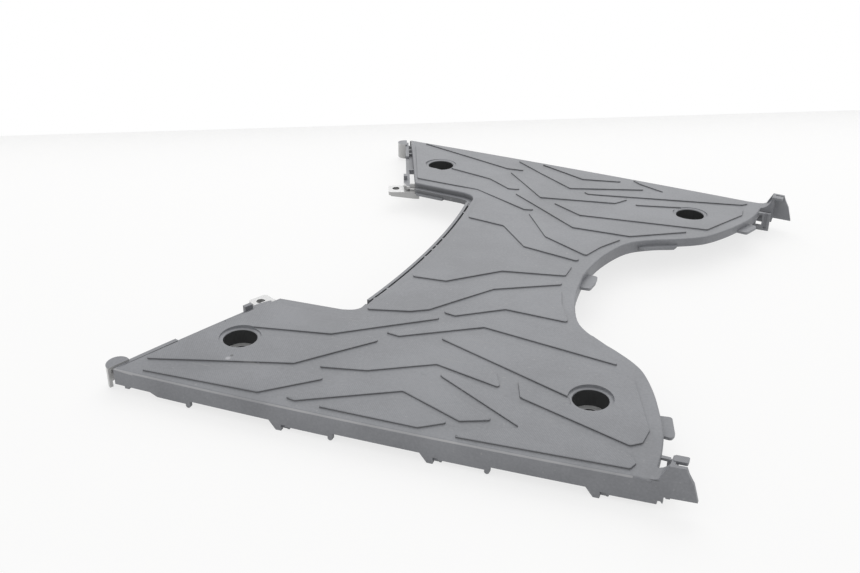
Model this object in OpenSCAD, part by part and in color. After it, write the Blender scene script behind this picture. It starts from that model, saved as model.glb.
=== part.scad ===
// Floorboard of a scooter, one injection-moulded piece.
// X runs along the symmetry axis from the end with the lugs to the end with the ears,
// Y runs across, and Z runs up. The plan is drawn with the lug-end bolt wells at x = 0, and
// the part is then moved so that its middle is at x = 0. The symmetry axis is y = 0, and the
// tips of the skirt's teeth stand on z = 0.

/* [Deck] */
// Length of the deck between its outer corners
deck_length = 337.5; // [310:0.5:370]
// Half width of the deck at the lug end
half_width_lug_end = 226; // [212:1:240]
// Half width of the deck at the ear end
half_width_ear_end = 202; // [194:1:212]
// How far the long edges bow outwards
edge_bow = 3; // [1:0.5:6]
// Radius of the deck's crown across its width
crown_radius = 2700; // [2200:100:4000]
// Thickness of the deck plate
plate_t = 2.5; // [2:0.1:3.5]
// Thickness of skirts and lips
wall_t = 2.4; // [1.8:0.1:3]
// Depth of the short lip round the notches and ends
lip_depth = 6.5; // [5:0.5:8]
// Depth of the lip at the root of the ear-end notch
root_lip_depth = 9; // [8:0.5:10]

/* [Tread] */
// Height of the raised panels
tread_h = 1.1; // [0.6:0.1:2]
// Corner radius of the raised panels
tread_r = 2; // [1:0.25:3]

/* [Bolt wells] */
// Distance of the ear-end wells from the deck's outer corner along X
ear_well_inset = 53.5; // [50:0.5:58]
// Half span of the lug-end row
well_half_span_lug_end = 167.5; // [164:0.5:171]
// Half span of the ear-end row
well_half_span_ear_end = 146.5; // [144:0.5:150]
// Inside diameter of a well
well_d = 22; // [19:0.5:24]
// Width of the shallow ring round a well
ring_w = 2.8; // [2.5:0.1:4]
// Wall of a well
well_wall = 2.4; // [1.8:0.1:3]
// Thickness of a well's floor
well_floor_t = 5; // [3:0.1:6]
// Diameter of the shallow seat in a well's floor
well_seat_d = 14; // [12:0.5:16]
// Depth of that seat
well_seat_depth = 0.8; // [0.4:0.1:1.5]
// Diameter of the bolt hole in a well's floor
bolt_hole_d = 6.6; // [5:0.1:9]

/* [Skirt] */
// Height of the deck's crown above the skirt's lower edge
skirt_drop = 20.4; // [18:0.2:24]
// How far a tooth reaches below the skirt
tooth_drop = 6; // [5:0.2:8]
// Width of a tooth at its tip
tooth_w = 6; // [5:0.5:8]
// Length of a tooth's sloping side
tooth_slope = 4.5; // [3:0.5:6]
// How far the rail between tooth and pin reaches below the skirt
rail_drop = 2.4; // [1.5:0.1:3.5]
// Length of a rail, from its tooth to its pin
rail_l = 31; // [26:1:36]
// How far a pin reaches below the skirt
pin_drop = 5; // [4:0.2:5.6]
// Width of a pin
pin_w = 3; // [2:0.25:4]
// Distance from one pin to the next
pin_pitch = 95.5; // [90:0.5:98]
// Place of the first pin along X
first_pin_x = -2; // [-6:0.5:4]

/* [Lug end] */
// Gap between the deck's edge and the strip at its outer end
strip_gap = 2.4; // [2:0.1:3]
// Width of the strip
strip_w = 3; // [2.4:0.1:4]
// How far the strip lies below the deck's surface
strip_below = 2; // [1:0.25:3]
// How much lower the strip lies beside the lug
strip_step = 2; // [0.5:0.25:2.5]
// Thickness of the strip
strip_t = 2.4; // [1.8:0.1:3]
// Width of a bridge across the gap
bridge_w = 2.4; // [1.8:0.2:4]
// How far a lug reaches out from the end edge
lug_l = 23; // [20:0.5:26]
// Width of a lug
lug_w = 15; // [12:0.5:16]
// Thickness of a lug's plate
lug_t = 3; // [2.4:0.1:4]
// How far a lug lies below the deck's surface
lug_below = 7.5; // [6.5:0.25:9]
// Depth of a lug's gusset at its root
gusset_depth = 6.5; // [5:0.5:10]
// Diameter of a lug's screw hole
lug_hole_d = 6.2; // [4:0.1:6.5]
// Radius of the half-round hook
hook_r = 7.5; // [6:0.5:9]
// Wall of the half-round hook
hook_wall = 2.2; // [1.8:0.1:3]
// Depth of the half-round hook below the deck's surface
hook_depth = 15; // [10:0.5:16]

/* [Notch rim] */
// Gap between the deck's edge and the rim in the lug-end notch
rim_gap = 1.6; // [1.2:0.1:2.4]
// Width of the rim
rim_w = 2.2; // [1.6:0.1:3]
// How far the rim's top lies below the deck's surface
rim_below = 0.8; // [0.6:0.1:2]
// How far the rim's foot lies below the deck's surface
rim_depth = 7; // [5.5:0.25:8.5]
// How far the ledge beside the lug lies below the deck's surface
ledge_below = 4.25; // [3:0.25:4.5]
// Gap between the deck's edge and the ledge
ledge_gap = 2.6; // [2:0.1:3]
// How far the ledge's foot lies below the deck's surface
ledge_depth = 8.5; // [8:0.25:10]

/* [Ear end] */
// Length of an ear at its foot
ear_l = 21; // [16:0.5:24]
// Length of an ear at its top
ear_top_l = 13; // [10:0.5:15]
// Height of an ear's top above the deck's crown
ear_rise = 3.5; // [2.5:0.5:6]
// How far an ear's foot lies below the deck's crown
ear_foot = 18; // [16:0.5:20]
// Thickness of an ear
ear_t = 2.4; // [2:0.1:3]
// Width of the wall that carries an ear, across the part
corner_wall_w = 11; // [10:0.5:13]
// Distance of that wall beyond the deck's outer corner
corner_wall_out = 4.2; // [2:0.2:5]
// Radius of the sweep from the deck up to that wall
corner_sweep = 9.5; // [6:0.5:11]
// Gap between an ear and its finger
finger_gap = 3.4; // [3:0.1:4.5]
// Width of a finger
finger_w = 5.5; // [5:0.5:7]
// Thickness of a finger
finger_t = 2; // [1.6:0.1:3]
// Length of a finger beyond the corner wall
finger_l = 8; // [7:0.5:12]
// Width of the loop below the corner
loop_w = 13.5; // [12.5:0.5:14]
// Height of that loop
loop_h = 15; // [13:0.5:16]
// Thickness of the loop's plate
loop_t = 2.4; // [2:0.1:3]
// Width of the loop's window
loop_window_w = 4.6; // [3.6:0.2:5]
// Height of the loop's window
loop_window_h = 9.5; // [6:0.5:10]
// Width of the groove beside the window
loop_groove_w = 2.4; // [1.6:0.2:3]
// Thickness of the tabs under the ear-end notch
tab_t = 2; // [1.6:0.1:3]

/* [Underside] */
// Thickness of a rib
rib_t = 1.6; // [1.2:0.1:2.4]
// Depth of a rib below the deck's surface
rib_depth = 4; // [3.2:0.2:6]
// Spacing of the ribs both ways
rib_pitch = 50; // [40:1:70]

/* [Hidden] */

crown_top = skirt_drop + tooth_drop;
far_out = 400;
crown_strip = 20;
crown_reach = 13 * crown_strip;
bite = 0.4;

// The plan is drawn on a sheet, with the deck's outer corners at these two points of it, and
// then stretched so that the corners come to the deck's length and half widths.
drawn_lug_corner = [-56, 226];
drawn_ear_corner = [281.5, 202];

function half_at(x, a, b) = a + (b - a) * (x - drawn_lug_corner.x)
    / (drawn_ear_corner - drawn_lug_corner).x;
function fit(p) = [
    p.x * deck_length / (drawn_ear_corner - drawn_lug_corner).x,
    p.y * half_at(p.x, half_width_lug_end, half_width_ear_end)
        / half_at(p.x, drawn_lug_corner.y, drawn_ear_corner.y)
];
function fit_all(pts) = [for (p = pts) fit(p)];

// Height of the deck's surface at a distance y from the axis
function deck_z(y) = crown_top - crown_radius + sqrt(pow(crown_radius, 2) - y * y);

function unit(v) = v / norm(v);
function left_of(v) = [-v.y, v.x];
function flip(pts) = [for (i = [len(pts) - 1:-1:0]) [pts[i].x, -pts[i].y]];

// Arc from a to b that bows to the right-hand side of the way by sag, without its last point
function bow(a, b, sag, n) = let (
    chord = norm(b - a),
    r = (chord * chord / 4 + sag * sag) / (2 * sag),
    half = asin(chord / 2 / r),
    side = -left_of(unit(b - a)),
    centre = (a + b) / 2 - side * (r - sag))
    [for (i = [0:n - 1]) let (t = -half + 2 * half * i / n)
        centre + r * (cos(t) * side + sin(t) * unit(b - a))];

// Smooth curve through the points, without its last point
function smooth(pts, n) = [for (i = [0:len(pts) - 2], k = [0:n - 1]) let (
    t = k / n,
    p0 = pts[max(i - 1, 0)],
    p1 = pts[i],
    p2 = pts[i + 1],
    p3 = pts[min(i + 2, len(pts) - 1)])
    0.5 * (2 * p1 + (p2 - p0) * t + (2 * p0 - 5 * p1 + 4 * p2 - p3) * t * t
        + (3 * p1 - p0 - 3 * p2 + p3) * t * t * t)];

// The closed outline moved to its left by d
function moved(pts, d) = let (n = len(pts)) [for (i = [0:n - 1]) let (
    u = left_of(unit(pts[i] - pts[(i + n - 1) % n])),
    v = left_of(unit(pts[(i + 1) % n] - pts[i])))
    pts[i] + d * (u + v) / (1 + u * v)];

// The closed outline with its corners rounded to radius r. Flat corners stay as they are,
// and a sharp tip is rounded over no more than 1.5 r of its sides.
function rounded(pts, r) = let (m = len(pts)) [for (i = [0:m - 1]) let (
    p = pts[i],
    u = unit(pts[(i + m - 1) % m] - p),
    v = unit(pts[(i + 1) % m] - p),
    half = acos(u * v) / 2,
    turn = 180 - 2 * half,
    reach = min(r / tan(half), 1.5 * r),
    rr = reach * tan(half),
    centre = p + unit(u + v) * rr / sin(half),
    a = p + u * reach - centre,
    b = p + v * reach - centre,
    steps = ceil(turn / 30))
    each turn < 20 ? [p] : [for (k = [0:steps])
        centre + (a * sin(turn * (1 - k / steps)) + b * sin(turn * k / steps)) / sin(turn)]];

// Outline of one half, from the middle of the ear-end notch round to the middle of the other
ear_notch = fit_all([[181, 0], [185, 33], [195.5, 64], [211, 79.5], [228, 89.5], [242, 99],
    [251, 108.5], [261, 126], [269.5, 146.5], [274.5, 161], [277.2, 175], [278.3, 190]]);
ear_notch_end = ear_notch[len(ear_notch) - 1];
ear_corner = fit(drawn_ear_corner);
lug_corner = fit(drawn_lug_corner);
arm_corner = fit([-1.5, 114]);
arm_end = fit([45, 110.5]);
notch_side = fit([58, 92.5]);
lug_notch = fit([66, 0]);
arm_turn = smooth([arm_end, arm_end + [7.5, -3], notch_side + [-1.2, 8.5], notch_side], 4);

notch_r = (pow(notch_side.y, 2) + pow(lug_notch.x - notch_side.x, 2)) / (2 * (lug_notch.x - notch_side.x));
function notch_half() = [for (i = [0:14]) let (t = asin(notch_side.y / notch_r) * (1 - i / 14))
    [lug_notch.x - notch_r + notch_r * cos(t), notch_r * sin(t)]];

// Middle of the part along X, from the outer side of the hooks to the tips of the ears
middle_x = (lug_corner.x - hook_r - 1.5 + ear_corner.x + ear_l) / 2;

half_outline = concat(
    [for (i = [1:len(smooth(ear_notch, 5)) - 1]) smooth(ear_notch, 5)[i]],
    [ear_notch_end],
    bow(ear_corner, lug_corner, edge_bow, 24),
    [lug_corner, arm_corner],
    arm_turn,
    notch_half());
outline = concat([ear_notch[0]], half_outline,
    [for (p = flip(half_outline)) if (abs(p.y) > 0.01) p]);

end_length = norm(arm_corner - lug_corner);
bridge_places = [12, 25, 37, 84, 121];
step_at = 47;
step_gap = strip_gap + 2 * (step_at - 2) / (end_length - 2);
rim_bridge_places = [3.5, 17, 72, 88];

// Corners of the raised panels on the half with positive y
panels = [
    [[-44, 210], [47, 180], [86, 137], [76, 135], [53, 151.5], [2, 164.5], [0, 154], [53, 142],
        [112, 97.5], [104, 95], [53, 121], [-3.5, 123.5]],
    [[-40, 221], [41, 214], [73, 187], [57, 185.5]],
    [[60, 106], [89, 97], [100, 90], [130, 47], [172, 21.5], [170, 18.5], [127, 26], [100, 56], [69, 60]],
    [[109, 89.5], [119, 91], [147, 70], [191, 70], [180, 49], [174, 30], [136, 50]],
    [[84, 127], [95, 128], [142, 97], [235, 107], [195, 78], [150, 76]],
    [[120, 120], [148, 103], [247, 118], [267, 163], [266, 175], [260, 180], [189, 161], [182, 145],
        [220, 158], [216, 150]],
    [[135, 157.5], [141, 153], [263, 188], [267, 193], [265, 198.5], [165, 209], [174, 200.5], [199, 188]],
    [[58, 212], [66, 213], [122, 181], [164, 195], [182, 187], [123, 160], [88, 187]],
    [[62, 178], [93, 170], [130, 148], [175, 156.5], [167, 142], [107, 127]],
    [[80, 213], [144, 209], [159, 198.5], [126, 189]]
];
middle_panel = [[70, 52], [95, 49], [126, 19], [170, 8], [170, -8], [126, -19], [95, -49], [70, -52],
    [72, 0]];

wells = [for (side = [-1, 1]) each [
    [0, side * well_half_span_lug_end],
    [ear_corner.x - ear_well_inset, side * well_half_span_ear_end]]];
well_floor_top = crown_top - skirt_drop + well_floor_t;

module plastic() { color([0.42, 0.43, 0.44]) children(); }
module both_sides() { children(); mirror([0, 1, 0]) children(); }

// All that lies below the deck's crowned surface, moved up by dz. The crown is drawn as flat
// strips along X, each a fiftieth of a millimetre off the true arc.
module below_crown(dz) {
    arc = [for (y = [-crown_reach:crown_strip:crown_reach]) [y, deck_z(y) + dz]];
    translate([-far_out, 0, 0]) rotate([90, 0, 90]) linear_extrude(3 * far_out)
        polygon(concat([[-crown_reach, -1], [crown_reach, -1]], [for (i = [len(arc) - 1:-1:0]) arc[i]]));
}

// The children's part between two depths under the deck's surface
module layer(top, bottom) {
    difference() {
        intersection() {
            children();
            below_crown(-top);
        }
        below_crown(-bottom);
    }
}

module prism(pts, from = 0, to = 60) { translate([0, 0, from]) linear_extrude(to - from) polygon(pts); }

module deck_plate() { plastic() layer(0, plate_t) prism(outline); }

module lips() {
    plastic() layer(bite, lip_depth) difference() {
        prism(outline);
        prism(moved(outline, wall_t), -1, 61);
    }
    plastic() layer(lip_depth - bite, root_lip_depth) intersection() {
        difference() {
            prism(outline);
            prism(moved(outline, wall_t), -1, 61);
        }
        translate([ear_notch[0].x - 5, -ear_notch[4].y - 3, 0])
            cube([ear_notch[4].x - ear_notch[0].x + 5, 2 * ear_notch[4].y + 6, 60]);
    }
}

module tread_panel(pts) { layer(-tread_h, bite) prism(rounded(fit_all(pts), tread_r)); }

module tread() {
    plastic() tread_panel(middle_panel);
    plastic() both_sides() for (p = panels) tread_panel(p);
}

// One rail with its pin and, where the row has it, its tooth, drawn in X and Z
module rail_profile(pin_x, with_tooth) {
    low = crown_top - skirt_drop;
    start = pin_x - rail_l;
    ramp = with_tooth ? 0 : 5;
    polygon([[start, low + 1], [start + ramp / 2, low], [start + 1.5 * ramp, low - rail_drop],
        [pin_x, low - rail_drop], [pin_x, low + 1]]);
    translate([pin_x - pin_w / 2, low - pin_drop + pin_w / 2]) circle(d = pin_w, $fn = 24);
    translate([pin_x - pin_w, low - pin_drop + pin_w / 2]) square([pin_w, pin_drop]);
    if (with_tooth)
        polygon([[start - tooth_w - tooth_slope, low + 1], [start - tooth_w - tooth_slope, low],
            [start - tooth_w, low - tooth_drop], [start - 2, low - tooth_drop],
            [start, low - tooth_drop + 2], [start, low + 1]]);
}

// Strip along the long edge, between the outline and a line inside it
module edge_band(inner) {
    a = concat(bow(ear_corner, lug_corner, edge_bow, 24), [lug_corner]);
    b = [for (p = a) p - [0, inner]];
    prism(concat(a, [for (i = [len(b) - 1:-1:0]) b[i]]), -1, 61);
}

module skirt() {
    low = crown_top - skirt_drop;
    plastic() intersection() {
        edge_band(wall_t);
        translate([0, far_out, 0]) rotate([90, 0, 0]) linear_extrude(far_out) {
            translate([lug_corner.x - 2, low]) square([deck_length + 10, skirt_drop]);
            for (i = [0:3]) rail_profile(first_pin_x + i * pin_pitch, i > 0);
            translate([lug_corner.x + 7, low - 1.6]) square([pin_w, 3]);
        }
        below_crown(-bite);
    }
}

// Block behind each tooth, which the recess beside the tooth opens into
module tooth_backs() {
    low = crown_top - skirt_drop;
    plastic() for (i = [1:3]) let (x = first_pin_x + i * pin_pitch - rail_l - tooth_w)
        intersection() {
            translate([x, 0, 0.8]) cube([tooth_w + 2, far_out, low + 6]);
            difference() {
                edge_band(wall_t + 4);
                edge_band(wall_t - bite);
            }
        }
}

// Recess beside each tooth
module tooth_recesses() {
    low = crown_top - skirt_drop;
    for (i = [1:3]) let (x = first_pin_x + i * pin_pitch - rail_l)
        intersection() {
            translate([x - 2.5, 0, -1]) cube([3.2, far_out, low - 0.5]);
            edge_band(wall_t);
        }
}

module well_bosses() {
    plastic() intersection() {
        for (w = wells) translate([w.x, w.y, well_floor_top - well_floor_t])
            cylinder(d = well_d + 2 * well_wall, h = skirt_drop, $fn = 96);
        below_crown(-bite);
    }
}

module well_holes() {
    for (w = wells) translate([w.x, w.y, 0]) {
        translate([0, 0, well_floor_top]) cylinder(d = well_d, h = 60, $fn = 96);
        cylinder(d = bolt_hole_d, h = 60, $fn = 48);
        translate([0, 0, well_floor_top - well_seat_depth]) cylinder(d = well_seat_d, h = 10, $fn = 72);
        translate([0, 0, deck_z(w.y)]) cylinder(d = well_d + 2 * ring_w, h = 20, $fn = 96);
    }
}

module ribs() {
    clip = moved(outline, wall_t - bite);
    plastic() layer(bite, rib_depth) intersection() {
        prism(clip);
        union() {
            for (x = [-rib_pitch:rib_pitch:deck_length])
                translate([x + rib_pitch / 2, -far_out, 0]) cube([rib_t, 2 * far_out, 60]);
            for (i = [-5:5])
                translate([-far_out, i * rib_pitch - rib_t / 2, 0]) cube([3 * far_out, rib_t, 60]);
        }
    }
}

// Puts its children at the lug end's outer corner, with x along the end edge and y outwards
module along_end() {
    way = arm_corner - lug_corner;
    translate([lug_corner.x, lug_corner.y, 0]) rotate([0, 0, atan2(way.y, way.x)])
        mirror([0, 1, 0]) children();
}

// Strip beside the end edge, with the bridges that carry it
module end_strip() {
    low = strip_below + strip_step;
    plastic() layer(strip_below, strip_below + strip_t) along_end()
        prism([[2, strip_gap], [step_at, step_gap], [step_at, step_gap + strip_w], [2, strip_gap + strip_w]]);
    plastic() layer(strip_below + strip_step / 2, low + strip_t) along_end()
        prism([[step_at - 2, step_gap], [step_at + 1, step_gap], [step_at + 1, step_gap + strip_w],
            [step_at - 2, step_gap + strip_w]]);
    plastic() layer(low, low + strip_t) along_end()
        prism([[step_at, step_gap], [end_length, strip_gap + 2], [end_length, strip_gap + 2 + strip_w],
            [step_at, step_gap + strip_w]]);
    plastic() layer(strip_below + 0.3, low + strip_t) along_end()
        for (s = bridge_places) translate([s - bridge_w / 2, -wall_t / 2, 0])
            cube([bridge_w, strip_gap + strip_w, 60]);
    plastic() layer(low + 0.6, low + 0.6 + strip_t) along_end()
        translate([bridge_places[2], -wall_t / 2, 0])
            cube([bridge_places[3] - bridge_places[2], strip_gap + strip_w, 60]);
}

// Upright fin on the strip near the lug, which steps down towards the lug
module strip_fin() {
    plastic() layer(0.6, strip_below + strip_step + bite) along_end()
        translate([end_length - 24, strip_gap + strip_w + 1, 0]) cube([6, strip_w, 60]);
    plastic() layer(strip_below + strip_step, lug_below + bite) along_end()
        translate([end_length - 24, strip_gap + strip_w + 1, 0]) cube([21, strip_w, 60]);
}

// Line that the rim beside the notch and the gutter along the arm follow
function notch_path() = concat([arm_corner + [2, 0]],
    arm_turn, notch_half());
function shift_path(pts, d) = [for (i = [0:len(pts) - 1]) let (
    way = unit(pts[min(i + 1, len(pts) - 1)] - pts[max(i - 1, 0)]))
    pts[i] + d * -left_of(way)];

module rim() {
    path = [for (p = notch_path()) if (p.y < notch_side.y + 1) p];
    plastic() layer(rim_below, rim_depth) path_band(path, rim_gap, rim_gap + rim_w);
}

module rim_bridges() {
    plastic() layer(rim_below + 0.3, rim_depth)
        for (y = rim_bridge_places) let (ang = asin(y / notch_r))
            translate([lug_notch.x - notch_r + notch_r * cos(ang), y, 0]) rotate([0, 0, ang])
                translate([-rim_gap - 1, -bridge_w / 2, 0]) cube([rim_gap + 2, bridge_w, 60]);
}

module path_band(path, from, to) {
    a = shift_path(path, from);
    b = shift_path(path, to);
    prism(concat(a, [for (i = [len(b) - 1:-1:0]) b[i]]));
}

// Gutter along the arm: its outer wall stands apart from the deck's lip, on a floor
module ledge() {
    path = [for (p = notch_path()) if (p.y > notch_side.y - 6) p];
    plastic() layer(ledge_below, ledge_depth) path_band(path, ledge_gap, ledge_gap + rim_w);
    plastic() layer(lip_depth - 2, lip_depth) path_band(path, -bite, ledge_gap + bite);
}

// Short bar below the ledge, next to the lug
module ledge_bar() {
    path = [arm_corner + [4, -0.3], arm_corner + [29, -2.1]];
    plastic() layer(ledge_depth - 1.4, ledge_depth + 0.8)
        path_band(path, ledge_gap + bite, ledge_gap + rim_w + 1.4);
}

module lug() {
    z = deck_z(arm_corner.y) - lug_below;
    s1 = end_length + 3;
    s0 = s1 - lug_w;
    plastic() difference() {
        along_end() {
            translate([0, 0, z - lug_t]) linear_extrude(lug_t)
                polygon(rounded([[s0, -wall_t - 1], [s1, -wall_t - 1], [s1, lug_l], [s0, lug_l]], 2.5));
            translate([s1, 0, 0]) rotate([90, 0, -90]) linear_extrude(wall_t)
                polygon([[wall_t + 1, z - 1], [-lug_l + 2, z - 1], [-lug_l + 2, z - lug_t - 0.6],
                    [0, z - gusset_depth], [wall_t + 1, z - gusset_depth]]);
        }
        along_end() translate([end_length - 5.5, lug_l - 6.5, z - 20])
            cylinder(d = lug_hole_d, h = 40, $fn = 48);
    }
}

// Half-round hook on the strip, by the outer corner
module hook() {
    middle = strip_gap + strip_w - bite;
    hook_at = hook_r - 2;
    plastic() difference() {
        layer(0.8, hook_depth) along_end() translate([hook_at, middle, 0]) intersection() {
            cylinder(r = hook_r, h = 60, $fn = 64);
            translate([-2 * hook_r, -1, 0]) cube([4 * hook_r, 2 * hook_r, 60]);
        }
        layer(0.8 + hook_wall, 60) along_end() translate([hook_at, middle, 0])
            cylinder(r = hook_r - hook_wall, h = 60, $fn = 64);
    }
}

// Wall that the deck sweeps up to at the ear-end corner
module corner_wall() {
    deck = deck_z(ear_corner.y) + 0.3;
    top = crown_top + ear_rise;
    x = ear_corner.x;
    face = x + corner_wall_out;
    sweep = [for (i = [0:6]) let (t = 15 * i)
        [face - corner_sweep * (1 - sin(t)), deck + corner_sweep * (1 - cos(t))]];
    plastic() intersection() {
        translate([0, ear_corner.y, 0]) rotate([90, 0, 0]) linear_extrude(corner_wall_w)
            polygon(concat(sweep, [[face, top], [face + wall_t, top], [face + wall_t, crown_top - ear_foot],
                [face, crown_top - ear_foot], [face, deck - plate_t],
                [face - corner_sweep - 2, deck - plate_t], [face - corner_sweep - 2, deck - bite]]));
        prism(concat([[x - 20, 0], [x + 20, 0]], [[x + 20, edge_y(x + 20)], [x - 20, edge_y(x - 20)]]));
    }
}

// The long edge near its ear-end corner, and its line carried on past the corner
edge_run = bow(ear_corner, lug_corner, edge_bow, 24);
edge_slope = (edge_run[1].y - edge_run[0].y) / (edge_run[1].x - edge_run[0].x);
function edge_y(x) = ear_corner.y + edge_slope * (x - ear_corner.x);

// Ear, with the spur that ends the skirt under its foot
module ear() {
    x = ear_corner.x;
    low = crown_top - ear_foot;
    top = crown_top + ear_rise;
    skirt_low = crown_top - skirt_drop;
    plastic() intersection() {
        translate([0, far_out, 0]) rotate([90, 0, 0]) linear_extrude(far_out) {
            polygon([[x - 1, low + 2], [x + 3, low + 2], [x + 3, skirt_low - 1.6], [x + 1.8, skirt_low],
                [x - 1, skirt_low]]);
            polygon([[x - 1, low + 0.6], [x + ear_l, low + 1], [x + ear_l - 3.2, low + 12],
                [x + (ear_l + ear_top_l) / 2 - 2.4, top - 4], [x + ear_top_l, top],
                [x + corner_wall_out, top], [x + corner_wall_out - 2, top - 4],
                [x - 1, deck_z(ear_corner.y)]]);
        }
        prism([[x - 1, edge_y(x - 1)], [x + ear_l, edge_y(x + ear_l)],
            [x + ear_l, edge_y(x + ear_l) - ear_t], [x - 1, edge_y(x - 1) - ear_t]]);
    }
}

module finger() {
    x = ear_corner.x + corner_wall_out + 0.6;
    y = ear_corner.y - ear_t - finger_gap;
    plastic() translate([0, 0, crown_top + ear_rise + 0.4 - finger_t]) linear_extrude(finger_t)
        polygon(rounded([[x, y - finger_w], [x + finger_l, y - finger_w - 0.7],
            [x + finger_l, y - 0.7], [x, y]], 1));
}

module loop() {
    x = ear_notch_end.x - 4.3;
    y = ear_notch_end.y - 8;
    top = deck_z(y) - bite;
    window_x = x + 2.8;
    window_top = top - 1.6;
    groove_x = window_x + loop_window_w + 1.6;
    plastic() difference() {
        translate([x, y - loop_t, top - loop_h]) cube([loop_w, loop_t, loop_h]);
        translate([window_x, y - loop_t - 1, window_top - loop_window_h])
            cube([loop_window_w, loop_t + 2, loop_window_h]);
        translate([groove_x, y - loop_t - 1, top - loop_h + 2]) cube([loop_groove_w, 2.1, loop_h]);
    }
}

// Tabs at the foot of the lip, under the ear-end notch
module notch_tabs() {
    long_tab = fit_all([[203, 71], [208, 71.5], [229.5, 86], [230, 93], [215, 86]]);
    side_tab = fit_all([[264, 141], [275, 139], [280, 154], [279, 158], [270, 158]]);
    plastic() layer(lip_depth - tab_t, lip_depth) {
        both_sides() prism(rounded(long_tab, 1.5));
        both_sides() prism(rounded(side_tab, 2));
        prism(rounded(fit_all([[179, -11], [189, -10], [190, 0], [189, 10], [179, 11]]), 2));
    }
}

module floorboard() {
    translate([-middle_x, 0, 0]) difference() {
        union() {
            deck_plate();
            lips();
            tread();
            well_bosses();
            ribs();
            notch_tabs();
            both_sides() {
                skirt();
                tooth_backs();
                end_strip();
                strip_fin();
                hook();
                rim();
                rim_bridges();
                ledge();
                ledge_bar();
                lug();
                corner_wall();
                ear();
                finger();
                loop();
            }
        }
        well_holes();
        both_sides() tooth_recesses();
    }
}

floorboard();
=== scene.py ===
# %% [markdown]
# The floorboard of a scooter is one injection-moulded plate: a crowned deck with a raised
# tread, a skirt with clip teeth along both long edges, four bolt wells, and lugs, hooks and
# ears where it meets the covers next to it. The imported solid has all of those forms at
# their real sizes, so this scene starts from it. What the solid lacks is what a mould gives
# for free: every edge slightly round, a fine grain on the deck, and smooth, glossier plastic
# on the parts that the rider never touches.

import math

import bmesh
import bpy
from mathutils import Matrix, Vector


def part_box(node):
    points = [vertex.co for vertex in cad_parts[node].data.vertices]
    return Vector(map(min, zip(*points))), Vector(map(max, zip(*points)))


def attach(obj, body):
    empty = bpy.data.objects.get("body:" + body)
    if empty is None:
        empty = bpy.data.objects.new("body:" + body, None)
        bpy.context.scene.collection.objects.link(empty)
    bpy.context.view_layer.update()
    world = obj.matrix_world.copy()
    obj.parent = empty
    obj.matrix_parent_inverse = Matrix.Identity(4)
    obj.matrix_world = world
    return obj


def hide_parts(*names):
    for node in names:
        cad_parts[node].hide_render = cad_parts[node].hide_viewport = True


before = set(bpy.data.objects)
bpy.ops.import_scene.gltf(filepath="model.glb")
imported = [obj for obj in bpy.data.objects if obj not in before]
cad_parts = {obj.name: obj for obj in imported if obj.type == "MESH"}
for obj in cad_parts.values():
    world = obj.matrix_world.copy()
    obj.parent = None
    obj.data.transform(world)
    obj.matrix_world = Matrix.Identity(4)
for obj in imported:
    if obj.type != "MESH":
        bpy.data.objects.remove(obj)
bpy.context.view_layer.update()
board_low, board_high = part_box("floorboard")
MM = 0.001
print("floorboard from", [round(c, 4) for c in board_low], "to", [round(c, 4) for c in board_high])

# %% [markdown]
# The camera comes first, because every later choice is judged through it. The photograph was
# taken from a step away, from the side of one long edge, looking down at a bit under thirty
# degrees. A camera's place is easiest to hold as one point and three angles, and the lens
# follows from how fast the far edge shrinks compared with the near one.

# %% Camera at the photograph's angle
PHOTO_WIDTH_PX = 860
FOCAL_PX = 1071.9
SENSOR_MM = 36.0
CAMERA_PLACE = Vector((229.4, -668.8, 375.65)) * MM
CAMERA_YAW = math.radians(-23.18)
CAMERA_PITCH = math.radians(27.84)
CAMERA_ROLL = math.radians(0.38)

forward = Vector((
    math.sin(CAMERA_YAW) * math.cos(CAMERA_PITCH),
    math.cos(CAMERA_YAW) * math.cos(CAMERA_PITCH),
    -math.sin(CAMERA_PITCH),
))
level_right = Vector((math.cos(CAMERA_YAW), -math.sin(CAMERA_YAW), 0))
level_up = level_right.cross(forward)
right = level_right * math.cos(CAMERA_ROLL) + level_up * math.sin(CAMERA_ROLL)
up = level_up * math.cos(CAMERA_ROLL) - level_right * math.sin(CAMERA_ROLL)

camera_data = bpy.data.cameras.new("photo_camera")
camera_data.sensor_fit = "HORIZONTAL"
camera_data.sensor_width = SENSOR_MM
camera_data.lens = SENSOR_MM * FOCAL_PX / PHOTO_WIDTH_PX
camera_data.clip_start = 0.01
camera = bpy.data.objects.new("photo_camera", camera_data)
camera.matrix_world = Matrix.Translation(CAMERA_PLACE) @ Matrix((right, up, -forward)).transposed().to_4x4()
bpy.context.scene.collection.objects.link(camera)
bpy.context.scene.camera = camera
print("lens", round(camera_data.lens, 2), "mm")

# %% [markdown]
# The deck is crowned: seen from the end it is a shallow arc, drawn in the solid as flat strips
# twenty millimetres wide. Rounding edges on a bent plate is fiddly, because each strip has its
# own slope. So the copy is bent flat first, by adding the drop of those strips to each
# point's height. Flat, the whole deck lies at one height, the small triangles on it melt into
# large faces, and its edges are easy to tell from those of the tread. After the edges are
# rounded, the plate is bent back, this time onto the true arc.

# %% The crown's drop, in strips and as a true arc
CROWN_TOP = 26.4 * MM
CROWN_RADIUS = 2700 * MM
CROWN_STRIP = 20 * MM


def arc_drop(y):
    return CROWN_RADIUS - math.sqrt(CROWN_RADIUS ** 2 - y * y)


def strip_drop(y):
    strips = abs(y) / CROWN_STRIP
    inner = math.floor(strips) * CROWN_STRIP
    share = strips - math.floor(strips)
    return arc_drop(inner) * (1 - share) + arc_drop(inner + CROWN_STRIP) * share


print("drop of the arc at the skirt:", round(arc_drop(board_high.y) / MM, 2), "mm")

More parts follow.
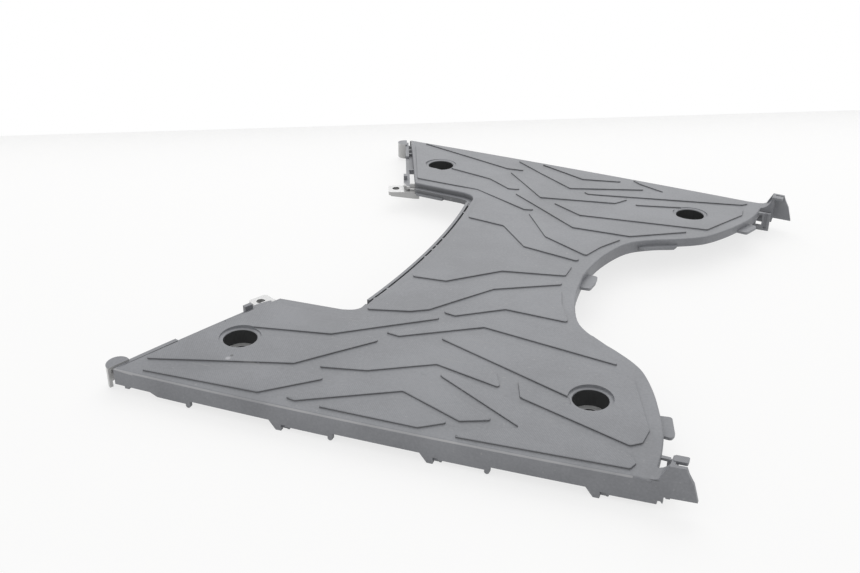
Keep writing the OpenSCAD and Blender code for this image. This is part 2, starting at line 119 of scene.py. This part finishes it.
# %% Copy the solid and bend its deck flat
TRUE_DOUBLE = 0.002 * MM
FLAT_TURN = math.radians(0.06)
plate = bmesh.new()
plate.from_mesh(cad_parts["floorboard"].data)
bmesh.ops.remove_doubles(plate, verts=plate.verts, dist=TRUE_DOUBLE)
for vert in plate.verts:
    vert.co.z += strip_drop(vert.co.y)
bmesh.ops.dissolve_limit(
    plate, angle_limit=FLAT_TURN, use_dissolve_boundaries=False,
    verts=plate.verts, edges=plate.edges,
)
open_edges = sum(1 for edge in plate.edges if len(edge.link_faces) != 2)
print("copied plate:", len(plate.verts), "points,", len(plate.faces), "faces,", open_edges, "open edges")

# %% [markdown]
# A sharp edge catches no light. On the real part the long edge by the rider's feet shows as a
# pale line, because it is a round of a millimetre or two, and each tread panel has a soft
# shoulder of about half a millimetre. A bevel modifier would give every edge the same radius
# and stumble over the small forms below the skirt. So each kind of edge is picked out by where
# it lies on the flat plate, and gets its own radius from the bevel operator. The rings round
# the wells are left crisp, because they are only three millimetres wide.

# %% Levels and wells by which edges are told apart
DECK_LEVEL = CROWN_TOP
PANEL_LEVEL = CROWN_TOP + 1.1 * MM
LEVEL_SLACK = 0.03 * MM
LEAST_EDGE = 0.12 * MM
LUG_WELL = Vector((-118.75, 167.5)) * MM
EAR_WELL = Vector((109.25, 146.5)) * MM
WELLS = [Vector((well.x, side * well.y)) for well in (LUG_WELL, EAR_WELL) for side in (-1, 1)]
WELL_RADIUS = 11 * MM
RING_RADIUS = 13.8 * MM
RING_MARGIN = 1 * MM
RADIUS_SLACK = 0.05 * MM
MOUTH_LEAST = 18 * MM
SKIRT_REACH = 200 * MM
SWEEP_START = 160 * MM
SIDEWAYS = 0.95
SHARP = math.radians(40)


def edge_turn(edge):
    if len(edge.link_faces) != 2:
        return 0
    return edge.calc_face_angle_signed(0)


def at_level(edge, level):
    return all(abs(vert.co.z - level) < LEVEL_SLACK for vert in edge.verts)


def nearest(point, places):
    return min((point - place).length for place in places)


def near_well(edge):
    return all(nearest(vert.co.xy, WELLS) < RING_RADIUS + RING_MARGIN for vert in edge.verts)


def on_mouth(vert):
    return abs(nearest(vert.co.xy, WELLS) - WELL_RADIUS) < RADIUS_SLACK and vert.co.z > MOUTH_LEAST


def on_skirt(edge):
    faces_out = any(abs(face.normal.y) > SIDEWAYS for face in edge.link_faces)
    return faces_out and all(abs(vert.co.y) > SKIRT_REACH and vert.co.x < SWEEP_START for vert in edge.verts)


def is_rim(edge):
    return at_level(edge, DECK_LEVEL) and edge_turn(edge) > SHARP and not near_well(edge)


def is_panel_edge(edge):
    shoulder = at_level(edge, PANEL_LEVEL) and edge_turn(edge) > SHARP
    foot = at_level(edge, DECK_LEVEL) and edge_turn(edge) < -SHARP
    return (shoulder or foot) and not near_well(edge)


print("wells at", [[round(c / MM, 2) for c in well] for well in WELLS], "mm")

# %% Join points that lie closer together than the roundings can pass
for level in (DECK_LEVEL, PANEL_LEVEL):
    crowded = [vert for vert in plate.verts if abs(vert.co.z - level) < LEVEL_SLACK]
    before = len(plate.verts)
    bmesh.ops.remove_doubles(plate, verts=crowded, dist=LEAST_EDGE)
    print(before - len(plate.verts), "points joined at", round(level / MM, 1), "mm")

# %% Round the wells' mouths, the tread panels and the deck's outer edges
def round_edges(edges, radius, segments):
    made = bmesh.ops.bevel(
        plate, geom=edges, offset=radius, offset_type="OFFSET", segments=segments,
        profile=0.5, affect="EDGES", clamp_overlap=False, material=-1, loop_slide=True,
    )
    print(len(edges), "edges rounded to", round(radius / MM, 2), "mm,", len(made["faces"]), "new faces")


mouth_edges = [
    edge for edge in plate.edges
    if edge_turn(edge) > SHARP and all(on_mouth(vert) for vert in edge.verts)
]
round_edges(mouth_edges, 0.7 * MM, 3)
round_edges([edge for edge in plate.edges if is_panel_edge(edge)], 0.4 * MM, 2)
round_edges([edge for edge in plate.edges if is_rim(edge) and on_skirt(edge)], 1.5 * MM, 4)
round_edges([edge for edge in plate.edges if is_rim(edge)], 1.0 * MM, 3)

# %% [markdown]
# One moulding has several finishes: the pitted tops of the tread, and the bare smooth lugs, hooks
# and well floors. Over these the colour carries painted light: painted shade on the walls of wells and
# screw holes, at the feet of the panels and in the groove of the lug-end notch, a painted reflection
# on the bare parts, painted light on the well floors, and a painted highlight along the long edges.
# Painting them with one texture would need a map. Here each face is told apart by its place while
# the plate is still flat, and carries its shares as attributes for the material.

# %% Mark the faces by their finish and by their painted light and shade
NOTCH_END = Vector((-40 * MM, 116 * MM))
GROOVE_SHADE = 0.55
LUG_END = Vector((-115 * MM, 121 * MM))
LUG_HOLES = [Vector((-137.49 * MM, side * 111.72 * MM)) for side in (-1, 1)]
LUG_HOLE_RADIUS = 3.1 * MM
HOLE_SLACK = 0.2 * MM
HOOK_START = -174 * MM
# End of the painted highlight along the long edges
HIGHLIGHT_END = 143 * MM
STEEP = 0.5
finishes = ("panel", "bare", "well", "crease", "edge", "floor")
shares = {finish: plate.faces.layers.float.new(finish + "_share") for finish in finishes}
counts = dict.fromkeys(finishes, 0)


def face_shares(face):
    middle = face.calc_center_median()
    depth = DECK_LEVEL - middle.z
    rise = face.normal.z
    steep = abs(rise) < STEEP
    from_well = nearest(middle.xy, WELLS)
    on_panel = rise > 0.9 and depth < -0.9 * MM
    # Painted shade: the walls of wells and screw holes are painted dark, where little light reaches.
    in_well = from_well < WELL_RADIUS + HOLE_SLACK and depth > 0.8 * MM and steep
    in_hole = nearest(middle.xy, LUG_HOLES) < LUG_HOLE_RADIUS + HOLE_SLACK and steep
    # Painted light: the floors of the wells are painted pale, where light falls on them.
    on_floor = from_well < WELL_RADIUS and depth > 5 * MM and rise > STEEP
    on_lug = middle.x < LUG_END.x and abs(middle.y) < LUG_END.y and depth > 1.5 * MM
    on_hook = middle.x < HOOK_START and depth > 0.5 * MM and steep
    by_ring = from_well < RING_RADIUS + 2 * MM
    # Painted shade at the foot of each panel's step and, at a lesser share, in the groove of the lug-end
    # notch.
    in_crease = not by_ring and -0.8 * MM < depth < 0.05 * MM and rise < 0.85
    in_notch = middle.x < NOTCH_END.x and abs(middle.y) < NOTCH_END.y and 1 * MM < depth < 8 * MM
    in_groove = in_notch and steep and not on_lug
    # Painted highlight: the rounded long edges are painted pale, where the round catches the overhead light.
    on_edge = abs(middle.y) > SKIRT_REACH and middle.x < HIGHLIGHT_END and 0 < depth < 1.2 * MM
    highlit_edge = on_edge and 0.15 < rise < 0.97 and abs(face.normal.y) > 0.2
    return {
        "panel": float(on_panel),
        "bare": float(on_lug or on_hook or on_floor),
        "well": float(in_well or in_hole),
        "crease": 1.0 if in_crease else GROOVE_SHADE if in_groove else 0.0,
        "edge": float(highlit_edge),
        "floor": float(on_floor),
    }


for face in plate.faces:
    for finish, share in face_shares(face).items():
        face[shares[finish]] = share
        counts[finish] += share > 0
print("faces by finish:", counts)

# %% [markdown]
# Bent back, the arc needs lines to bend along, so the plate is first cut at every centimetre
# both ways. Smooth shading would let the dark of a step bleed over the flat face beside it.
# An edge is shaded smooth only where it turns little, and round the wells' rings the flat
# faces are kept apart from the steps as well.

# %% Bend the plate back onto the arc
CUT_PITCH = 10 * MM
TOUCH = 0.001 * MM
SPLINTER = 0.01 * MM
for axis, reach in ((Vector((0, 1, 0)), 220 * MM), (Vector((1, 0, 0)), 180 * MM)):
    cut = -reach
    while cut < reach + 1 * MM:
        bmesh.ops.bisect_plane(
            plate, geom=plate.verts[:] + plate.edges[:] + plate.faces[:], dist=TOUCH,
            plane_co=axis * cut, plane_no=axis,
        )
        cut += CUT_PITCH
for vert in plate.verts:
    vert.co.z -= arc_drop(vert.co.y)
bmesh.ops.triangulate(plate, faces=plate.faces, quad_method="BEAUTY", ngon_method="BEAUTY")
bmesh.ops.dissolve_degenerate(plate, dist=SPLINTER, edges=plate.edges)
bmesh.ops.recalc_face_normals(plate, faces=plate.faces)
print("bent plate:", len(plate.verts), "points")

# %% Keep the shading of flat faces apart from the steps beside them
SMOOTH_TURN = math.radians(35)
LEVEL_NORMAL = 0.995
SHADE_MARGIN = 3 * MM
for face in plate.faces:
    face.smooth = True
for edge in plate.edges:
    if len(edge.link_faces) != 2:
        continue
    level = [face.normal.z > LEVEL_NORMAL for face in edge.link_faces]
    by_ring = nearest(edge.verts[0].co.xy, WELLS) < RING_RADIUS + SHADE_MARGIN
    edge.smooth = edge.calc_face_angle(0) < SMOOTH_TURN and not (by_ring and level[0] != level[1])
print(sum(1 for edge in plate.edges if not edge.smooth), "edges shaded sharp")

# %% Make the footboard's mesh
footboard_mesh = bpy.data.meshes.new("footboard")
plate.to_mesh(footboard_mesh)
plate.free()
footboard = bpy.data.objects.new("footboard", footboard_mesh)
bpy.context.scene.collection.objects.link(footboard)
shading = footboard.modifiers.new("even_shading", "WEIGHTED_NORMAL")
shading.keep_sharp = True
shading.weight = 100
print("footboard:", len(footboard_mesh.vertices), "points,", len(footboard_mesh.polygons), "triangles")

# %% Place the footboard in the frame
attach(footboard, "root")
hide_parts("floorboard")

# %% [markdown]
# The plastic is grey with a cool cast. On the deck the mould was etched, so the surface is a
# fine pebble a fraction of a millimetre across, which turns a sharp reflection into a soft
# sheen. The tread panels carry a regular grid of shallow pits on top. The lugs, hooks and well
# floors were never etched: there the plastic is smooth, and mirrors the white table, and their
# lighter grey is a painted reflection of it. The effects that stand apart from the colour are
# node groups: each gives heights and masks.

# %% Helpers for node trees
def new_group(name, inputs, outputs):
    group = bpy.data.node_groups.new(name, "ShaderNodeTree")
    for label, kind, value in inputs:
        socket = group.interface.new_socket(name=label, in_out="INPUT", socket_type=kind)
        socket.default_value = value
    for label, kind in outputs:
        group.interface.new_socket(name=label, in_out="OUTPUT", socket_type=kind)
    return group, group.nodes.new("NodeGroupInput"), group.nodes.new("NodeGroupOutput")


def add_noise(tree, place, scale, detail, roughness):
    noise = tree.nodes.new("ShaderNodeTexNoise")
    noise.inputs["Scale"].default_value = scale
    noise.inputs["Detail"].default_value = detail
    noise.inputs["Roughness"].default_value = roughness
    tree.links.new(place, noise.inputs["Vector"])
    return noise


def add_range(tree, value, low, high, to_low, to_high):
    node = tree.nodes.new("ShaderNodeMapRange")
    node.inputs["From Min"].default_value = low
    node.inputs["From Max"].default_value = high
    node.inputs["To Min"].default_value = to_low
    node.inputs["To Max"].default_value = to_high
    tree.links.new(value, node.inputs["Value"])
    return node.outputs["Result"]


def add_math(tree, operation, *values):
    node = tree.nodes.new("ShaderNodeMath")
    node.operation = operation
    for index, value in enumerate(values):
        if isinstance(value, (int, float)):
            node.inputs[index].default_value = value
        else:
            tree.links.new(value, node.inputs[index])
    return node.outputs[0]


def add_blend(tree, share, low, high):
    node = tree.nodes.new("ShaderNodeMix")
    node.data_type = "RGBA"
    for socket, value in ((node.inputs[0], share), (node.inputs[6], low), (node.inputs[7], high)):
        if isinstance(value, tuple):
            socket.default_value = value
        else:
            tree.links.new(value, socket)
    return node.outputs[2]


# %% Etched grain, with flecks and slow mottling
PEBBLE_SCALE = 1500.0
FLECK_SCALE = 620
MOTTLE_SCALE = 22
grain, grain_in, grain_out = new_group(
    "etched_grain",
    [("Place", "NodeSocketVector", (0, 0, 0)), ("Scale", "NodeSocketFloat", PEBBLE_SCALE)],
    [("Height", "NodeSocketFloat"), ("Fleck", "NodeSocketFloat"), ("Mottle", "NodeSocketFloat")],
)
pebble = add_noise(grain, grain_in.outputs["Place"], PEBBLE_SCALE, 2, 0.55)
grain.links.new(grain_in.outputs["Scale"], pebble.inputs["Scale"])
fleck = add_noise(grain, grain_in.outputs["Place"], FLECK_SCALE, 1, 0.5)
mottle = add_noise(grain, grain_in.outputs["Place"], MOTTLE_SCALE, 3, 0.5)
for noise, label in ((pebble, "Height"), (fleck, "Fleck"), (mottle, "Mottle")):
    grain.links.new(noise.outputs["Fac"], grain_out.inputs[label])
print("grain about", round(1 / PEBBLE_SCALE / MM, 2), "mm across")

# %% Grid of pits on the tread panels
PIT_PITCH = 1.6 * MM
pits, pits_in, pits_out = new_group(
    "tread_pits",
    [("Place", "NodeSocketVector", (0, 0, 0)), ("Pitch", "NodeSocketFloat", PIT_PITCH)],
    [("Height", "NodeSocketFloat")],
)
turn_scale = add_math(pits, "DIVIDE", 2 * math.pi, pits_in.outputs["Pitch"])
split = pits.nodes.new("ShaderNodeSeparateXYZ")
pits.links.new(pits_in.outputs["Place"], split.inputs[0])
waves = [
    add_math(pits, "SINE", add_math(pits, "MULTIPLY", split.outputs[axis], turn_scale)) for axis in ("X", "Y")
]
pits.links.new(add_math(pits, "MULTIPLY", *waves), pits_out.inputs["Height"])
print("pits every", round(PIT_PITCH / MM, 2), "mm")

# %% Fine scratches and dust
SCRATCH_LAYS = ((0.5, 9), (-0.9, 14))
SCRATCH_SCALE = 12
wear, wear_in, wear_out = new_group(
    "light_wear",
    [("Place", "NodeSocketVector", (0, 0, 0))],
    [("Scratches", "NodeSocketFloat"), ("Dust", "NodeSocketFloat")],
)
scratch_masks = []
for turn, stretch in SCRATCH_LAYS:
    lay = wear.nodes.new("ShaderNodeMapping")
    lay.inputs["Rotation"].default_value = (0, 0, turn)
    lay.inputs["Scale"].default_value = (SCRATCH_SCALE, SCRATCH_SCALE * stretch, SCRATCH_SCALE)
    wear.links.new(wear_in.outputs["Place"], lay.inputs["Vector"])
    streak = add_noise(wear, lay.outputs["Vector"], 2.2, 3, 0.5)
    scratch_masks.append(add_range(wear, streak.outputs["Fac"], 0.70, 0.76, 0, 1))
wear.links.new(add_math(wear, "MAXIMUM", *scratch_masks), wear_out.inputs["Scratches"])
specks = add_noise(wear, wear_in.outputs["Place"], 420, 1, 0.5)
wear.links.new(add_range(wear, specks.outputs["Fac"], 0.72, 0.78, 0, 1), wear_out.inputs["Dust"])
print("scratches in", len(SCRATCH_LAYS), "directions")

# %% [markdown]
# The material is one Principled shader. Its colour starts as mottled grey between two close
# tones, and then each layer is laid over it by its mask: a painted reflection on the bare plastic,
# painted light on the well floors, painted shade in the creases, a painted highlight on the long
# edge, scratches, dust, and painted shade in the wells. The order matters, because a later layer
# covers an earlier one, as dirt covers paint. The real deck also has a nick on the shoulder of
# one panel and two small dents, which are spots at fixed places; the dents are painted as dark
# spots of shade.

# %% The plastic and its masks
DECK_DARK = (0.188, 0.193, 0.207, 1)
DECK_LIGHT = (0.266, 0.272, 0.290, 1)
# painted shade in the wells and screw holes
WELL_SHADE_GREY = (0.040, 0.041, 0.042, 1)
# painted shade at the feet of the panels and in the notch's groove
CREASE_SHADE_GREY = (0.095, 0.096, 0.100, 1)
# painted reflection: the bare parts are painted lighter than the plastic, for the table they mirror
BARE_REFLECTION_GREY = (0.40, 0.40, 0.40, 1)
# painted light on the well floors
FLOOR_HIGHLIGHT_GREY = (0.55, 0.55, 0.55, 1)
# painted highlight along the rounded long edges
EDGE_HIGHLIGHT_GREY = (0.43, 0.43, 0.44, 1)
WEAR_GREY = (0.36, 0.36, 0.36, 1)
NICK_GREY = (0.42, 0.42, 0.44, 1)
# painted shade in small dents
DENT_SHADE_GREY = (0.07, 0.07, 0.07, 1)
plastic = bpy.data.materials.new("moulded_grey_plastic")
plastic.use_nodes = True
tree = plastic.node_tree
shader = tree.nodes["Principled BSDF"]
shader.inputs["IOR"].default_value = 1.5
shader.inputs["Coat IOR"].default_value = 1.8
shader.inputs["Coat Roughness"].default_value = 0.15
place = tree.nodes.new("ShaderNodeTexCoord").outputs["Object"]


def face_mask(finish):
    node = tree.nodes.new("ShaderNodeAttribute")
    node.attribute_name = finish + "_share"
    return node.outputs["Fac"]


def add_group(group):
    node = tree.nodes.new("ShaderNodeGroup")
    node.node_tree = group
    tree.links.new(place, node.inputs["Place"])
    return node.outputs


def spot_mask(centre, radius):
    apart = tree.nodes.new("ShaderNodeVectorMath")
    apart.operation = "DISTANCE"
    tree.links.new(place, apart.inputs[0])
    apart.inputs[1].default_value = centre
    return add_range(tree, apart.outputs["Value"], radius * 0.7, radius * 1.2, 1, 0)


masks = {finish: face_mask(finish) for finish in finishes}
grain_outputs = add_group(grain)
pits_outputs = add_group(pits)
wear_outputs = add_group(wear)
print("masks:", ", ".join(masks))

# %% Colour: mottled grey with each finish and the painted light and shade laid over it
PIT_TONE = 0.36
SCRATCH_TONE = 0.25
DUST_TONE = 0.35
mottle_share = add_range(tree, grain_outputs["Mottle"], 0.32, 0.68, 0.05, 0.9)
fleck_share = add_range(tree, grain_outputs["Fleck"], 0.3, 0.7, -0.15, 0.15)
pit_tone = add_math(tree, "MULTIPLY", masks["panel"], PIT_TONE)
pit_share = add_math(tree, "MULTIPLY", pits_outputs["Height"], pit_tone)
tone_share = add_math(tree, "ADD", add_math(tree, "ADD", mottle_share, fleck_share), pit_share)
# the painted highlight on the long edges varies with the mottle
edge_highlight_share = add_range(tree, grain_outputs["Mottle"], 0.35, 0.6, 0.5, 1)
layers = (
    # painted reflection on the bare parts
    (masks["bare"], BARE_REFLECTION_GREY),
    # painted light on the well floors
    (masks["floor"], FLOOR_HIGHLIGHT_GREY),
    # painted shade at the panels' feet and in the notch's groove
    (masks["crease"], CREASE_SHADE_GREY),
    # painted highlight along the long edges
    (add_math(tree, "MULTIPLY", masks["edge"], edge_highlight_share), EDGE_HIGHLIGHT_GREY),
    (add_math(tree, "MULTIPLY", wear_outputs["Scratches"], SCRATCH_TONE), WEAR_GREY),
    (add_math(tree, "MULTIPLY", wear_outputs["Dust"], DUST_TONE), WEAR_GREY),
    # painted shade in the wells and screw holes
    (masks["well"], WELL_SHADE_GREY),
)
colour = add_blend(tree, tone_share, DECK_DARK, DECK_LIGHT)
for share, grey in layers:
    colour = add_blend(tree, share, colour, grey)
print(len(layers), "layers over the grey")

# %% Marks of use: a nick on a panel's shoulder and two small dents, the dents as dark spots of painted shade
# The dark spots are painted shade in small dents; the mesh has no hollow there.
SPOTS = (
    (Vector((-112.9, -191.0, 20.0)) * MM, 1.8 * MM, 0.9, NICK_GREY),
    (Vector((-112.2, -187.6, 20.9)) * MM, 1.1 * MM, 0.7, DENT_SHADE_GREY),
    (Vector((-74.3, -130.2, 23.3)) * MM, 0.9 * MM, 0.8, DENT_SHADE_GREY),
    (Vector((-53.2, -113.5, 24.0)) * MM, 0.9 * MM, 0.8, DENT_SHADE_GREY),
)
for centre, radius, strength, grey in SPOTS:
    colour = add_blend(tree, add_math(tree, "MULTIPLY", spot_mask(centre, radius), strength), colour, grey)
tree.links.new(colour, shader.inputs["Base Color"])
print(len(SPOTS), "spots")

# %% Gloss: a satin deck, smooth bare parts
BARE_SMOOTHING = -0.14
SCRATCH_SCUFFING = 0.08
polish = add_range(tree, grain_outputs["Mottle"], 0.3, 0.7, 0.45, 0.54)
smoothing = add_math(tree, "MULTIPLY", add_math(tree, "MAXIMUM", masks["bare"], masks["well"]), BARE_SMOOTHING)
scuffing = add_math(tree, "MULTIPLY", wear_outputs["Scratches"], SCRATCH_SCUFFING)
roughness = add_math(tree, "ADD", add_math(tree, "ADD", polish, smoothing), scuffing)
tree.links.new(roughness, shader.inputs["Roughness"])
tree.links.new(masks["bare"], shader.inputs["Coat Weight"])

# %% Relief: pebble everywhere but on bare parts, pits on the panels
PIT_RELIEF = 0.5
RELIEF_DEPTH = 0.05 * MM
etched = add_math(tree, "SUBTRACT", 1, masks["bare"])
pebble_height = add_math(tree, "MULTIPLY", grain_outputs["Height"], etched)
pit_mask = add_math(tree, "MULTIPLY", masks["panel"], PIT_RELIEF)
pit_height = add_math(tree, "MULTIPLY", pits_outputs["Height"], pit_mask)
bump = tree.nodes.new("ShaderNodeBump")
bump.inputs["Strength"].default_value = 0.5
bump.inputs["Distance"].default_value = RELIEF_DEPTH
tree.links.new(add_math(tree, "ADD", pebble_height, pit_height), bump.inputs["Height"])
tree.links.new(bump.outputs["Normal"], shader.inputs["Normal"])
footboard_mesh.materials.append(plastic)
print("plastic with", len(tree.nodes), "nodes")

# %% [markdown]
# The photograph's table and wall are plain white, with a faint line where they meet. Both are
# white planes. The camera and the reflections see them brighter than the light alone makes
# them, by a share of emission that only those rays meet, and the shadow stays. The wall is
# kept low, so that it doesn't stand between the lamp and the far side of the deck.

# %% Table and wall
TABLE_SIZE = 4.0
WALL_HEIGHT = 0.06
TABLE_TINT = (0.93, 0.925, 0.915, 1)
WALL_TINT = (0.93, 0.93, 0.93, 1)
TABLE_GLOW = 0.75
WALL_GLOW = 1.0


def seen_directly(tree):
    path = tree.nodes.new("ShaderNodeLightPath")
    return add_math(tree, "MAXIMUM", path.outputs["Is Camera Ray"], path.outputs["Is Glossy Ray"])


def white_surface(name, share, tint):
    material = bpy.data.materials.new(name)
    material.use_nodes = True
    nodes = material.node_tree.nodes
    links = material.node_tree.links
    nodes.clear()
    output = nodes.new("ShaderNodeOutputMaterial")
    matt = nodes.new("ShaderNodeBsdfDiffuse")
    matt.inputs["Color"].default_value = tint
    glow = nodes.new("ShaderNodeEmission")
    glow.inputs["Color"].default_value = (1, 1, 1, 1)
    mix = nodes.new("ShaderNodeMixShader")
    seen = seen_directly(material.node_tree)
    links.new(add_math(material.node_tree, "MULTIPLY", seen, share), mix.inputs["Fac"])
    links.new(matt.outputs[0], mix.inputs[1])
    links.new(glow.outputs[0], mix.inputs[2])
    links.new(mix.outputs[0], output.inputs["Surface"])
    return material


def white_plane(name, corners, material):
    sheet = bmesh.new()
    sheet.faces.new([sheet.verts.new(corner) for corner in corners])
    mesh = bpy.data.meshes.new(name)
    sheet.to_mesh(mesh)
    sheet.free()
    mesh.materials.append(material)
    plane = bpy.data.objects.new(name, mesh)
    bpy.context.scene.collection.objects.link(plane)


line_left = Vector((-0.579, 0.108, 0))
line_right = Vector((0.216, 0.558, 0))
along = (line_right - line_left).normalized()
forth = Vector((-along.y, along.x, 0)) * TABLE_SIZE
wall_top = Vector((0, 0, WALL_HEIGHT))
wall_left = line_left - along * TABLE_SIZE
wall_right = line_right + along * TABLE_SIZE
table_white = white_surface("table_white", TABLE_GLOW, TABLE_TINT)
wall_white = white_surface("wall_white", WALL_GLOW, WALL_TINT)
white_plane("table", [wall_left - forth, wall_right - forth, wall_right, wall_left], table_white)
white_plane("wall", [wall_left, wall_right, wall_right + wall_top, wall_left + wall_top], wall_white)
print("table and wall meet from", wall_left[:2], "to", wall_right[:2])

# %% [markdown]
# The light is that of a photo tent: a bright even sky, and one broad soft lamp behind and
# above the part, which gives the far side of the deck its sheen and leaves the skirt a little
# darker. Together they light a level surface at about full strength, so a colour renders
# about as it is written. The background's white is not made by them: only the camera and
# reflections see the sky as white.

# %% Sky and lamp
SKY_LIGHT = 0.75
LAMP_PLACE = Vector((-0.4, 1.2, 1.3))
LAMP_SIZE = 1.8
LAMP_WATTS = 13
world = bpy.data.worlds.new("tent")
bpy.context.scene.world = world
world.use_nodes = True
sky_tree = world.node_tree
sky = sky_tree.nodes["Background"]
sky.inputs["Color"].default_value = (1, 1, 1, 1)
sky_tree.links.new(add_range(sky_tree, seen_directly(sky_tree), 0, 1, SKY_LIGHT, 1), sky.inputs["Strength"])

lamp_data = bpy.data.lights.new("overhead_lamp", "AREA")
lamp_data.shape = "SQUARE"
lamp_data.size = LAMP_SIZE
lamp_data.energy = LAMP_WATTS
lamp = bpy.data.objects.new("overhead_lamp", lamp_data)
lamp.location = LAMP_PLACE
lamp.rotation_euler = (-LAMP_PLACE).to_track_quat("-Z", "Y").to_euler()
bpy.context.scene.collection.objects.link(lamp)
print("lamp", round(LAMP_PLACE.length, 2), "m away,", LAMP_WATTS, "W")

# %% Colours as written
bpy.context.scene.view_settings.view_transform = "Standard"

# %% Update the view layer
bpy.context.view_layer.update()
